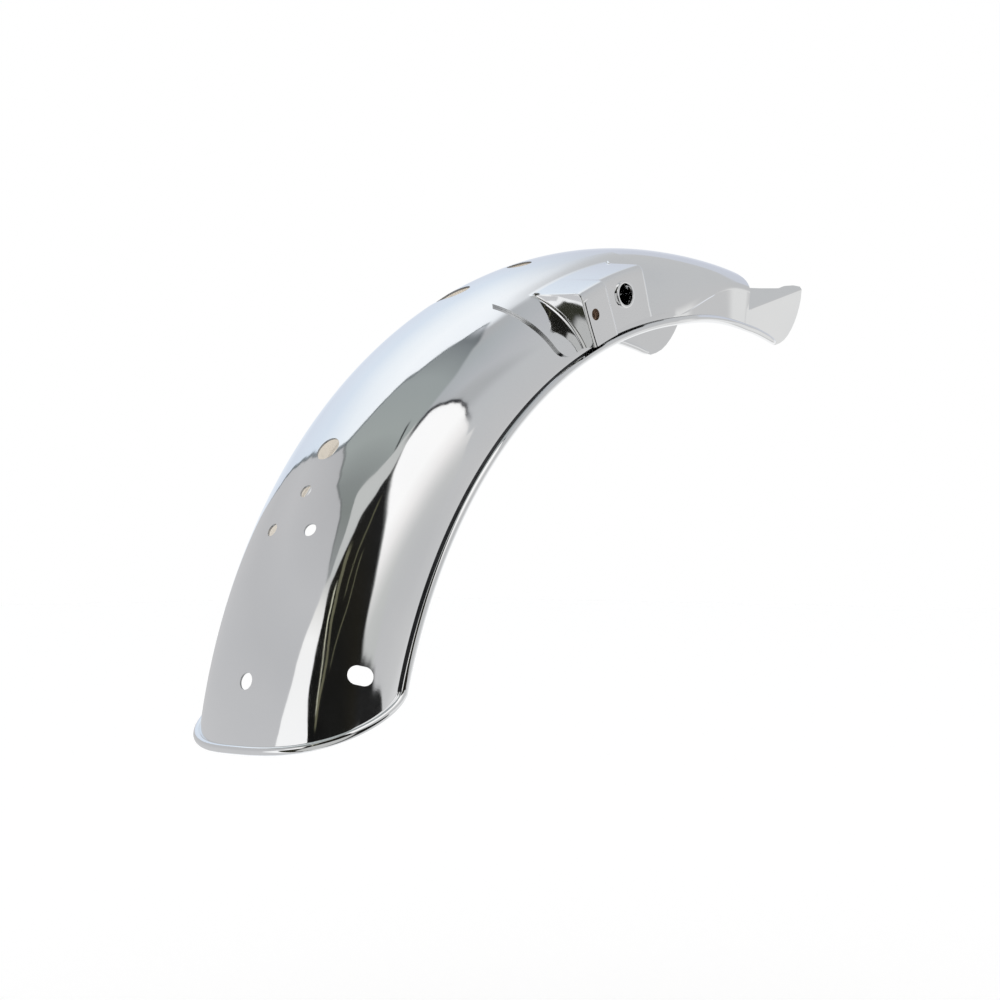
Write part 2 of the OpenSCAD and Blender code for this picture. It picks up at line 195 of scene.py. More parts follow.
# Pale band of light that ends in a point low on the slope, and the small dark mark in it.
band_edge = border(map_forward, [
    (-0.47, -0.012), (-0.436, -0.006), (-0.411, -0.004), (-0.379, 0.004), (-0.351, 0.02), (-0.327, 0.038),
    (-0.299, 0.046), (-0.266, 0.0), (-0.226, -0.045), (-0.186, -0.056), (-0.16, -0.066)])
drawn = laid_over(drawn, (0.55, 0.56, 0.55), short_of(map_left, band_edge, 0.006),
                  past(map_forward, -0.5, 0.03), short_of(map_forward, -0.15, 0.02))
drawn = laid_over(drawn, (0.03, 0.032, 0.035),
                  near(map_left, border(map_forward, [(-0.21, -0.05), (-0.16, -0.022)]), 0.006, 0.006),
                  near(map_forward, -0.182, 0.026, 0.02), share=0.95)

# Front: a pale low wall to the right, and a soft pale sky over the grey side wall.
pale_wall = sum_of("MULTIPLY_ADD", map_forward, 0.649, map_left)
pale_wall_end = sum_of("SUBTRACT", sum_of("MULTIPLY", map_forward, -0.40), map_left)
drawn = laid_over(drawn, (0.76, 0.76, 0.755), soft_step(pale_wall, 0.05), soft_step(pale_wall_end, 0.08),
                  short_of(height, 14.0, 10.0), short_of(map_left, -0.1, 0.2), past(map_forward, 0.55, 0.1))
front_edge = border(map_forward, [
    (0.0, 0.03), (0.068, 0.055), (0.107, 0.080), (0.156, 0.125), (0.195, 0.144), (0.232, 0.155),
    (0.30, 0.192), (0.384, 0.250), (0.438, 0.283), (0.478, 0.295), (0.505, 0.20), (0.53, 0.05),
    (0.58, -0.10), (0.8, -0.14)])
sky = tone(height, -90, 90, [
    (-20, 0.95, 0.95, 0.95), (5, 0.90, 0.93, 0.97), (12, 0.74, 0.77, 0.84), (24, 0.60, 0.63, 0.71),
    (45, 0.60, 0.63, 0.68), (66, 0.72, 0.75, 0.79)])
drawn = laid_over(drawn, sky, past(map_left, front_edge, 0.055), past(map_forward, 0.06, 0.06))

# Window: very pale blue, with a thin dark frame along its rear edge.
window_edge = border(map_left, [
    (-0.02, 0.20), (0.04, 0.085), (0.079, 0.080), (0.095, 0.050), (0.106, 0.031), (0.139, 0.0),
    (0.167, -0.033), (0.208, -0.051), (0.229, -0.077), (0.254, -0.103), (0.285, -0.130), (0.33, -0.145),
    (0.42, -0.105), (0.519, -0.025), (0.575, 0.032), (0.633, 0.102), (0.679, 0.168), (0.711, 0.211),
    (0.744, 0.282), (0.764, 0.357), (0.80, 0.52), (0.84, 0.75)])
window_tone = tone(height, -90, 90, [
    (-5, 0.95, 0.97, 1.0), (6, 0.80, 0.86, 0.94), (18, 0.70, 0.76, 0.86), (36, 0.74, 0.82, 0.92),
    (50, 0.90, 0.95, 1.0), (62, 0.98, 1.01, 1.04), (80, 0.95, 0.98, 1.02)])
drawn = laid_over(drawn, rear_wall, short_of(map_forward, window_edge, 0.02), past(map_left, 0.45, 0.1))
drawn = laid_over(drawn, window_tone, past(map_forward, window_edge, 0.010), past(map_left, 0.055, 0.05),
                  past(sum_of("MULTIPLY", map_left, 0.85), sum_of("SUBTRACT", map_forward, 0.10), 0.28))
drawn = laid_over(drawn, (0.12, 0.14, 0.15), near(map_forward, window_edge, 0.0065, 0.006),
                  past(map_left, 0.07, 0.03), short_of(map_left, 0.74, 0.08), share=0.85)

# Rear right: the dark doorway with its thin lit slats, the lit strip to the left of it, and the lamp.
doorway_edge = border(map_forward, [
    (-1.1, -0.30), (-0.90, -0.24), (-0.80, -0.199), (-0.729, -0.129), (-0.641, -0.10), (-0.549, -0.077),
    (-0.497, -0.044), (-0.464, -0.049), (-0.378, -0.067), (-0.338, -0.066), (-0.3015, -0.092),
    (-0.268, -0.103), (-0.241, -0.1175), (-0.206, -0.105), (-0.12, -0.09)])
strip_edge = border(map_forward, [
    (-1.1, 0.42), (-0.9, 0.27), (-0.818, 0.189), (-0.767, 0.149), (-0.706, 0.099), (-0.644, 0.079),
    (-0.587, 0.051), (-0.531, 0.019), (-0.488, 0.0085), (-0.45, -0.02)])
strip_tone = tone(map_forward, -1.0, -0.4, [
    (-0.9, 1.0, 1.0, 1.0), (-0.6, 0.98, 0.97, 0.96), (-0.53, 0.80, 0.79, 0.77), (-0.48, 0.56, 0.56, 0.55)])
drawn = laid_over(drawn, strip_tone, short_of(map_left, strip_edge, 0.018),
                  short_of(map_forward, -0.47, 0.03))
drawn = laid_over(drawn, (0.035, 0.036, 0.026), short_of(map_forward, -0.87, 0.02),
                  short_of(map_left, 0.12, 0.05))
lamp_left = border(map_left, [
    (-1.15, 0.72), (-1.0, 0.50), (-0.95, 0.32), (-0.885, 0.0), (-0.80, -0.14), (-0.73, -0.237),
    (-0.66, -0.315), (-0.612, -0.3395), (-0.54, -0.3376), (-0.484, -0.314), (-0.412, -0.2995),
    (-0.354, -0.287), (-0.2955, -0.2756), (-0.1956, -0.2595), (-0.134, -0.232), (-0.095, -0.18),
    (-0.082, -0.13), (-0.07, -0.05)])
doorway_tone = tone(map_forward, -1.0, 0.2, [
    (-0.9, 0.007, 0.007, 0.007), (-0.55, 0.009, 0.009, 0.008), (-0.42, 0.014, 0.013, 0.010),
    (-0.30, 0.014, 0.014, 0.014)])
doorway_end = short_of(map_forward, border(map_left, [
    (-1.2, 0.95), (-0.9, 0.75), (-0.5, 0.42), (-0.2, 0.0), (-0.08, -0.10)]), 0.12)
drawn = laid_over(drawn, doorway_tone, short_of(map_left, doorway_edge, 0.010),
                  short_of(map_forward, lamp_left, 0.05))
drawn = laid_over(drawn, (0.55, 0.55, 0.54), short_of(height, 6.0, 3.0), short_of(map_forward, -0.30, 0.1),
                  short_of(map_left, -0.35, 0.2))
doorway_top = tone(map_forward, -0.4, 0.1, [
    (-0.26, 0.08, 0.08, 0.075), (-0.20, 0.34, 0.34, 0.34), (-0.10, 0.44, 0.45, 0.46)])
drawn = laid_over(drawn, doorway_top, short_of(map_left, doorway_edge, 0.010), doorway_end,
                  past(map_forward, -0.245, 0.05), past(map_left, -0.34, 0.10))
PALE_SLAT, DIM_SLAT, BROAD_SLAT = (0.75, 0.74, 0.58), (0.12, 0.118, 0.075), (0.16, 0.155, 0.10)
for colour, half_width, share, line in (
        (BROAD_SLAT, 0.014, 0.85, [(-0.76, -0.285), (-0.69, -0.262), (-0.64, -0.255), (-0.595, -0.228),
                                   (-0.551, -0.178), (-0.495, -0.139), (-0.44, -0.105), (-0.40, -0.09)]),
        (PALE_SLAT, 0.005, 0.95, [(-0.73, -0.256), (-0.706, -0.245), (-0.645, -0.214), (-0.609, -0.185),
                                  (-0.560, -0.140), (-0.512, -0.112), (-0.48, -0.095)]),
        (DIM_SLAT, 0.006, 0.8, [(-0.47, -0.215), (-0.453, -0.202), (-0.397, -0.176), (-0.368, -0.171),
                                (-0.333, -0.165), (-0.29, -0.15)]),
        (DIM_SLAT, 0.006, 0.8, [(-0.60, -0.30), (-0.569, -0.290), (-0.525, -0.285), (-0.464, -0.280),
                                (-0.421, -0.249), (-0.38, -0.22)])):
    drawn = laid_over(drawn, colour, near(map_left, border(map_forward, line), half_width, 0.006),
                      past(map_forward, line[0][0], 0.03), short_of(map_forward, line[-1][0], 0.03),
                      share=share)
lamp_top = border(map_forward, [
    (-0.4, -0.095), (-0.15, -0.097), (-0.129, -0.101), (-0.107, -0.113), (-0.084, -0.155), (-0.051, -0.215),
    (-0.025, -0.273), (0.014, -0.365), (0.09, -0.482), (0.16, -0.560), (0.45, -0.85)])
lamp_tone = tone(map_left, -1.2, 0.0, [
    (-1.0, 0.60, 0.60, 0.60), (-0.75, 0.50, 0.50, 0.50), (-0.60, 0.60, 0.60, 0.59),
    (-0.45, 0.92, 0.90, 0.89), (-0.33, 1.05, 1.04, 1.03), (-0.08, 1.05, 1.04, 1.04)])
drawn = laid_over(drawn, (0.02, 0.02, 0.025), near(map_left, lamp_top, 0.020, 0.012),
                  past(map_forward, -0.17, 0.06), past(map_left, -0.40, 0.16))
drawn = laid_over(drawn, lamp_tone, past(map_forward, lamp_left, 0.02), short_of(map_left, lamp_top, 0.012),
                  past(map_left, -0.62, 0.5))

seen_room = nodes.new("ShaderNodeBackground")
links.new(drawn, seen_room.inputs["Color"])
even_light = nodes.new("ShaderNodeBackground")
even_light.inputs["Color"].default_value = (1.0, 1.0, 1.0, 1.0)
even_light.inputs["Strength"].default_value = PLAIN_LIGHT
white_paper = nodes.new("ShaderNodeBackground")
white_paper.inputs["Color"].default_value = (1.0, 1.0, 1.0, 1.0)
kind_of_ray = nodes.new("ShaderNodeLightPath")
metal_or_not = nodes.new("ShaderNodeMixShader")
links.new(kind_of_ray.outputs["Is Glossy Ray"], metal_or_not.inputs[0])
links.new(even_light.outputs[0], metal_or_not.inputs[1])
links.new(seen_room.outputs[0], metal_or_not.inputs[2])
camera_or_not = nodes.new("ShaderNodeMixShader")
links.new(kind_of_ray.outputs["Is Camera Ray"], camera_or_not.inputs[0])
links.new(metal_or_not.outputs[0], camera_or_not.inputs[1])
links.new(white_paper.outputs[0], camera_or_not.inputs[2])
links.new(camera_or_not.outputs[0], nodes.new("ShaderNodeOutputWorld").inputs["Surface"])

# Camera, at the viewing angle of the photograph: behind the mudguard and to its right, a little below
# its middle and turned up very slightly, with a long lens.
CAMERA_AT = (-0.85782, -0.76640, -0.12344)
CAMERA_TOWARDS = (0.74641, 0.66506, 0.02406)
CAMERA_LENS = 76.365

camera_data = bpy.data.cameras.new("camera")
camera_data.lens = CAMERA_LENS
camera_data.sensor_width = 36.0
camera_data.clip_start = 0.01
camera = bpy.data.objects.new("camera", camera_data)
camera.location = CAMERA_AT
camera.rotation_mode = "QUATERNION"
camera.rotation_quaternion = Vector(CAMERA_TOWARDS).to_track_quat("-Z", "Y")
scene.collection.objects.link(camera)
scene.camera = camera

# Blade of the mudguard: one deep pressing in 1 mm sheet steel that follows the wheel, rounded over
# the crown, narrower and flatter at the front, and cut to a rounded tail. Sizes are in millimetres
# about the wheel axle, and the zero point of the part is on the axis of the bracket bolt.
CROWN, HALF_WIDTH, CROWN_DROP, SKIRT, SHEET = 312.0, 60.0, 43.3, 3.0, 1.0
SHOULDER = CROWN - CROWN_DROP
LOWER_EDGE = SHOULDER - SKIRT
ARC_FRONT, CROWN_FRONT = 100.0, 81.0
FRONT_HALF_WIDTH, FRONT_DROP, FRONT_EDGE_RISE = 49.0, 20.8, 3.3
TAIL_MID, TAIL_REACH, TAIL_CORNER, TAIL_SQUARE = 168.8, 19.0, 36.0, 2.67
BOLT_ANGLE, BOLT_RADIUS = 115.3, 287.3
BOLT_TURN = math.radians(BOLT_ANGLE)
ZERO = BOLT_RADIUS * np.array([math.cos(BOLT_TURN), 0.0, math.sin(BOLT_TURN)])
TAIL_ROWS_FROM, TAIL_ROWS, ROW_STEP = 150.0, 34, 0.5
FINE_TURN, COARSE_TURN, WALL_BAND, WALL_WEIGHT = 0.75, 2.0, 0.4, 6
SKIRT_STEPS = (0.0, 0.06, 0.12, 0.18, 0.24, 0.30, 0.36, 0.42, 0.48, 0.54, 0.77)


def narrowing(angle):
    share = np.clip((ARC_FRONT - angle) / (ARC_FRONT - CROWN_FRONT), 0.0, 1.0)
    return share * share * (3 - 2 * share)


def width_at(angle):
    return HALF_WIDTH - (HALF_WIDTH - FRONT_HALF_WIDTH) * narrowing(angle)


def shoulder_at(angle):
    return SHOULDER + (CROWN_DROP - FRONT_DROP) * narrowing(angle)


def lower_edge_at(angle):
    return LOWER_EDGE + FRONT_EDGE_RISE * narrowing(angle)


def tail_outline(across, radius):
    """Angle at which the sheet ends, at a distance across from the middle."""
    share = np.clip(np.abs(across) / HALF_WIDTH, 0.0, 1.0)
    reach = TAIL_REACH - TAIL_CORNER * (1 - (1 - share ** TAIL_SQUARE) ** (1 / TAIL_SQUARE))
    return TAIL_MID + np.degrees(np.arcsin(reach / radius))


def on_arc(radius, angle, left):
    turn = np.radians(angle)
    return np.stack(np.broadcast_arrays(radius * np.cos(turn), left, radius * np.sin(turn)), -1)


def outward(points):
    """Direction square to the blade's outer face at points about the axle, row by row."""
    def depth(place):
        angle = np.degrees(np.arctan2(place[:, 2], place[:, 0]))
        radius = np.hypot(place[:, 0], place[:, 2])
        top, wall, side = CROWN, shoulder_at(angle), width_at(angle)
        dome = wall + (top - wall) * np.sqrt(np.clip(1 - (place[:, 1] / side) ** 2, 1e-6, None))
        return np.where(radius > wall + WALL_BAND, dome - radius, WALL_WEIGHT * (side - np.abs(place[:, 1])))
    step = 0.02
    slope = np.stack([depth(points - step * axis) - depth(points + step * axis) for axis in np.eye(3)], 1)
    return slope / np.linalg.norm(slope, axis=1)[:, None]


crown_turns = np.radians(np.concatenate([np.arange(90, 60, -FINE_TURN), np.arange(60, -60, -COARSE_TURN),
                                         np.arange(-60, -90.1, -FINE_TURN)]))
columns = ([(1, share) for share in SKIRT_STEPS] + [(0, turn) for turn in crown_turns]
           + [(-1, share) for share in SKIRT_STEPS[::-1]])


def blade_column(kind, value, angle):
    """Radius and distance to the left of one line along the blade."""
    wall, side, low = shoulder_at(angle), width_at(angle), lower_edge_at(angle)
    if kind == 0:
        return wall + (CROWN - wall) * math.cos(value), side * math.sin(value)
    return low + value * (wall - low), kind * side


arc_rows = np.arange(CROWN_FRONT, TAIL_ROWS_FROM + 0.01, ROW_STEP)
blade_points, blade_rows = [], []
for row in range(len(arc_rows) + TAIL_ROWS):
    line = []
    for kind, value in columns:
        if row < len(arc_rows):
            angle = arc_rows[row]
        else:
            radius, left = blade_column(kind, value, TAIL_ROWS_FROM)
            share = (row - len(arc_rows) + 1) / TAIL_ROWS
            angle = TAIL_ROWS_FROM + share * (tail_outline(left, radius) - TAIL_ROWS_FROM)
        radius, left = blade_column(kind, value, angle)
        line.append(len(blade_points))
        blade_points.append(on_arc(radius, angle, left))
    blade_rows.append(line)
blade_faces = [(row[c], row[c + 1], after[c + 1], after[c]) for row, after in zip(blade_rows, blade_rows[1:])
               for c in range(len(columns) - 1)]

# Ears: the side walls run on past the crown as two flat plates that turn slightly inward, and the
# upper edge of each is folded inward to a strip that gets narrower towards the tip.
EAR_FROM, EAR_SETTLED, EAR_SLOPE = 38.0, 54.0, math.tan(math.radians(3.4))
CREASE_FROM, EAR_TIP = np.array([44.0, 277.5]), np.array([105.0, 295.5])
EAR_CORNER = np.array([73.0, 259.5])
FOLD_LEAN = math.radians(30.0)
FOLD_TOP = [(0.6, 13.5), (4.6, 15.4), (6.0, 15.0), (24.0, 10.3), (41.6, 6.2), (48.6, 6.3), (58.0, 4.6),
            (64.0, 2.2)]
EAR_STEPS, EAR_COLUMNS, EAR_FIRST_STEP = 44, 10, 0.012
EAR_FRONT_AT, EAR_FRONT_REACH, EAR_FRONT_POWER = np.array([77.0, 260.5]), np.array([28.0, 35.0]), 1.3


def ear_half_width(forward):
    early = EAR_SLOPE * (forward - EAR_FROM) ** 2 / (2 * (EAR_SETTLED - EAR_FROM))
    late = EAR_SLOPE * (forward - (EAR_FROM + EAR_SETTLED) / 2)
    return FRONT_HALF_WIDTH - np.where(forward < EAR_SETTLED, early, late)


wall_low = lower_edge_at(CROWN_FRONT)
bend_start = wall_low * np.array([math.cos(math.radians(CROWN_FRONT)), math.sin(math.radians(CROWN_FRONT))])
corner_start = EAR_CORNER + [0.6, -0.1]
bottom_line = np.array([bend_start, [52.0, 264.2], [62.0, 262.2], [68.5, 260.5], [71.2, 259.8], corner_start])
front_turn = np.radians(np.linspace(12, 90, 18))
rounded_front = np.stack([np.sin(front_turn) ** EAR_FRONT_POWER,
                          1 - np.cos(front_turn) ** EAR_FRONT_POWER], 1)
front_line = np.concatenate([[corner_start, EAR_CORNER + [3.2, 0.55]],
                             EAR_FRONT_AT + EAR_FRONT_REACH * rounded_front])
crease_step = (EAR_TIP - CREASE_FROM) / np.linalg.norm(EAR_TIP - CREASE_FROM)
crease_up = np.array([-crease_step[1], crease_step[0]])


def along(line, share):
    """Point at a share of a bent line's length."""
    lengths = np.concatenate([[0], np.cumsum(np.linalg.norm(np.diff(line, axis=0), axis=1))])
    return np.array([np.interp(share * lengths[-1], lengths, line[:, axis]) for axis in (0, 1)])


def ear_plate(across, forward_share):
    """A spot on the flat ear, between its lower edge (0) and the crease (1), as forward and up."""
    low, high = along(bottom_line, forward_share), CREASE_FROM + forward_share * (EAR_TIP - CREASE_FROM)
    turn = math.radians(CROWN_FRONT)
    top_of_wall = wall_low + SKIRT_STEPS[EAR_COLUMNS - 1] * (shoulder_at(CROWN_FRONT) - wall_low)
    rear_radius = wall_low + across * (top_of_wall - wall_low)
    rear = rear_radius * np.array([math.cos(turn), math.sin(turn)])
    rear_end = top_of_wall * np.array([math.cos(turn), math.sin(turn)])
    crease = rear_end + forward_share * (EAR_TIP - rear_end)
    front = along(front_line, across)
    corners = ((1 - forward_share) * ((1 - across) * bottom_line[0] + across * rear_end)
               + forward_share * ((1 - across) * bottom_line[-1] + across * EAR_TIP))
    return (1 - across) * low + across * crease + (1 - forward_share) * rear + forward_share * front - corners


fold_steps = (0.35, 0.7, 1.05, 1.4)
for side in (1, -1):
    previous = (blade_rows[0] if side == 1 else blade_rows[0][::-1])[:EAR_COLUMNS]
    for step in range(1, EAR_STEPS + 1):
        share = EAR_FIRST_STEP if step == 1 else step / EAR_STEPS
        line = []
        for across in np.array(SKIRT_STEPS[:EAR_COLUMNS]) / SKIRT_STEPS[EAR_COLUMNS - 1]:
            forward, up = ear_plate(across, share)
            line.append(len(blade_points))
            blade_points.append(np.array([forward, side * ear_half_width(forward), up]))
        crease_at = blade_points[line[-1]]
        reach = share * np.linalg.norm(EAR_TIP - CREASE_FROM)
        top = np.interp(reach, [s[0] for s in FOLD_TOP], [s[1] for s in FOLD_TOP])
        risen, inward, lean, last = 0.0, 0.0, 0.0, 0.0
        for where in list(fold_steps) + list(np.linspace(fold_steps[-1], max(top, 2.0), 7)[1:]):
            lean = min(FOLD_LEAN, lean + FOLD_LEAN / len(fold_steps))
            risen += (where - last) * math.cos(lean)
            inward += (where - last) * math.sin(lean)
            last = where
            spot = crease_at[[0, 2]] + risen * crease_up
            line.append(len(blade_points))
            blade_points.append(np.array([spot[0], side * (side * crease_at[1] - inward), spot[1]]))
        for c in range(len(line) - 1 if step > 1 else EAR_COLUMNS - 1):
            quad = (line[c], line[c + 1], previous[c + 1], previous[c])
            blade_faces.append(quad if side == 1 else quad[::-1])
        previous = line

sheet = bpy.data.meshes.new("blade_sheet")
sheet.from_pydata([tuple((p - ZERO) / 1000) for p in blade_points], [], blade_faces)
sheet.validate()
sheet_object = bpy.data.objects.new("blade_sheet", sheet)
scene.collection.objects.link(sheet_object)
thicken = sheet_object.modifiers.new("thickness", "SOLIDIFY")
thicken.thickness = SHEET / 1000
thicken.offset = 1.0
thicken.use_even_offset = True
thicken.use_quality_normals = True

# Holes of the blade, punched after pressing: an oval one beside the crown, one under the seat, the
# cable hole, three lamp bolt holes, one near the tail and a slot on each rear shoulder.
ROUND_HOLES = [(109.6, 0.0, 7.0), (143.1, 0.0, 6.8), (147.9, 0.0, 3.5), (151.85, 13.5, 3.5),
               (151.85, -13.5, 3.5), (166.25, 0.0, 4.2)]
HOLE_SIDES = 64
OVAL_ANGLE, OVAL_LEFT, OVAL_RADIUS, OVAL_TRAVEL = 117.6, 17.5, 8.0, 14.0
SLOT_ANGLE, SLOT_OUT, SLOT_RADIUS, SLOT_TRAVEL = 164.4, 53.0, 4.6, 3.5


def punch(name, centre, up, sideways, radius, travel, reach):
    """A long pin of round or slotted section that cuts one hole."""
    up, sideways = Vector(up).normalized(), Vector(sideways).normalized()
    forward = up.cross(sideways)
    ring = []
    for step in range(HOLE_SIDES):
        turn = 2 * math.pi * (step + 0.5) / HOLE_SIDES
        shift = travel / 2 if math.cos(turn) > 0 else -travel / 2
        ring.append(sideways * (radius * math.cos(turn) + shift) + forward * radius * math.sin(turn))
    tool = bmesh.new()
    low = [tool.verts.new((centre + r - up * reach) / 1000) for r in ring]
    high = [tool.verts.new((centre + r + up * reach) / 1000) for r in ring]
    for a in range(HOLE_SIDES):
        b = (a + 1) % HOLE_SIDES
        tool.faces.new((low[a], low[b], high[b], high[a]))
    tool.faces.new(low[::-1])
    tool.faces.new(high)
    bmesh.ops.recalc_face_normals(tool, faces=tool.faces)
    mesh = bpy.data.meshes.new(name)
    tool.to_mesh(mesh)
    tool.free()
    pin = bpy.data.objects.new(name, mesh)
    scene.collection.objects.link(pin)
    return pin


def about_zero(point):
    return Vector(tuple(np.asarray(point) - ZERO))


punches = []
for number, (angle, left, radius) in enumerate(ROUND_HOLES):
    spot = on_arc(SHOULDER + CROWN_DROP * math.sqrt(1 - (left / HALF_WIDTH) ** 2), angle, left)
    square = outward(spot[None])[0]
    punches.append(punch(f"hole_punch_{number}", about_zero(spot), square, (0, 1, 0), radius, 0.0, 12))
oval_height = SHOULDER + CROWN_DROP * math.sqrt(1 - (OVAL_LEFT / HALF_WIDTH) ** 2)
oval_spot = about_zero(on_arc(oval_height, OVAL_ANGLE, OVAL_LEFT))
punches.append(punch("oval_punch", oval_spot, on_arc(1.0, OVAL_ANGLE, 0.0), (0, 1, 0),
                     OVAL_RADIUS, OVAL_TRAVEL, 16))
slot_turn = math.radians(SLOT_ANGLE)
for side in (1, -1):
    turn = math.asin(SLOT_OUT / HALF_WIDTH)
    spot = on_arc(SHOULDER + CROWN_DROP * math.cos(turn), SLOT_ANGLE, side * SLOT_OUT)
    square = outward(spot[None])[0]
    lengthways = np.cross(square, np.array([-math.sin(slot_turn), 0, math.cos(slot_turn)]))
    punches.append(punch(f"slot_punch_{side + 1}", about_zero(spot), square, lengthways,
                         SLOT_RADIUS, SLOT_TRAVEL, 9))
for pin in punches:
    cut = sheet_object.modifiers.new(pin.name, "BOOLEAN")
    cut.operation = "DIFFERENCE"
    cut.object = pin
    cut.solver = "EXACT"
bpy.context.view_layer.update()
punched = sheet_object.evaluated_get(bpy.context.evaluated_depsgraph_get())
blade_mesh = bpy.data.meshes.new_from_object(punched)
bpy.data.objects.remove(sheet_object)
for pin in punches:
    bpy.data.objects.remove(pin)

# Rolled rim: the lower edge of the blade is rolled outward round a wire, along both sides and the
# tail, and fades out at the front corner of each ear.
RIM_RADIUS, RIM_SIDES, RIM_BITE, RIM_RISE, EAR_RIM_RISE = 2.2, 40, 0.4, 1.0, 1.2
RIM_CORNER = 12
EAR_RIM = ((0.08, 2.2), (0.25, 2.2), (0.45, 2.15), (0.65, 2.1), (0.8, 2.0), (0.9, 1.7), (0.96, 1.2),
           (0.99, 0.6))
RIM_LIFT = RIM_RADIUS - SHEET - RIM_BITE
RIM_AT = LOWER_EDGE + RIM_RISE
rim_joins = TAIL_MID + math.degrees(math.asin((TAIL_REACH - TAIL_CORNER) / RIM_AT))

rim_line, rim_out, rim_size = [], [], []
for turn in np.radians(np.linspace(88, 0, 60)):
    across = HALF_WIDTH * math.sin(turn)
    radius = SHOULDER + CROWN_DROP * math.cos(turn) - (SHOULDER - RIM_AT) * math.sin(turn) ** RIM_CORNER
    angle = float(tail_outline(across, radius))
    tilt = np.array([HALF_WIDTH * math.cos(turn), CROWN_DROP * math.sin(turn)])
    tilt = tilt / np.linalg.norm(tilt)
    way = on_arc(tilt[0], angle, tilt[1])
    rim_line.append(on_arc(radius, angle, across) + RIM_LIFT * way)
    rim_out.append(way)
    rim_size.append(RIM_RADIUS)
side_line, side_out, side_size = [], [], []
for angle in np.concatenate([np.linspace(rim_joins, TAIL_ROWS_FROM, TAIL_ROWS + 1)[:-1], arc_rows[:0:-1]]):
    side_line.append(on_arc(lower_edge_at(angle) + RIM_RISE, angle, width_at(angle) + RIM_LIFT))
    side_out.append(np.array([0.0, 1.0, 0.0]))
    side_size.append(RIM_RADIUS)
for share, size in EAR_RIM:
    forward, up = along(bottom_line, share)
    beside_ear = ear_half_width(forward) + RIM_LIFT - (RIM_RADIUS - size) * 0.7
    side_line.append(np.array([forward, beside_ear, up + EAR_RIM_RISE]))
    side_out.append(np.array([0.0, 1.0, 0.0]))
    side_size.append(size)
left_half = side_line[::-1] + rim_line
left_ways, left_sizes = side_out[::-1] + rim_out, side_size[::-1] + rim_size
flip = np.array([1.0, -1.0, 1.0])
whole = left_half + [p * flip for p in left_half[-2::-1]]
ways = left_ways + [w * flip for w in left_ways[-2::-1]]
sizes = left_sizes + left_sizes[-2::-1]

rim = bmesh.new()
rings = []
turns_round = np.linspace(0, 2 * math.pi, RIM_SIDES, endpoint=False)
for spot, (centre, way, size) in enumerate(zip(whole, ways, sizes)):
    ahead = whole[min(spot + 1, len(whole) - 1)] - whole[max(spot - 1, 0)]
    ahead = ahead / np.linalg.norm(ahead)
    way = way - way.dot(ahead) * ahead
    way = way / np.linalg.norm(way)
    across = np.cross(ahead, way)
    circle = [math.cos(t) * way + math.sin(t) * across for t in turns_round]
    rings.append([rim.verts.new(tuple((centre + size * reach - ZERO) / 1000)) for reach in circle])
for ring, after in zip(rings, rings[1:]):
    for k in range(RIM_SIDES):
        rim.faces.new((ring[k], ring[(k + 1) % RIM_SIDES], after[(k + 1) % RIM_SIDES], after[k]))
rim.faces.new(rings[0])
rim.faces.new(rings[-1][::-1])
bmesh.ops.recalc_face_normals(rim, faces=rim.faces)
rim_first_face = len(blade_mesh.polygons)
both = bmesh.new()
both.from_mesh(blade_mesh)
rim_mesh = bpy.data.meshes.new("rim")
rim.to_mesh(rim_mesh)
rim.free()
both.from_mesh(rim_mesh)
both.to_mesh(blade_mesh)
both.free()

# Finish of the blade: bright chrome on pressed steel. The plating is thin, so the press marks, a faint
# haze and a few pits still show in it, and inside it leaves a dull warm nickel. The reflections run on
# past the holes' edges, because the shading there follows the true curve of the pressing.
PEEL_DEPTH, PIT_DEPTH = 0.0000025, 0.00002
CHROME_DEEP, CHROME_CLEAR = (0.885, 0.895, 0.905), (0.92, 0.925, 0.93)


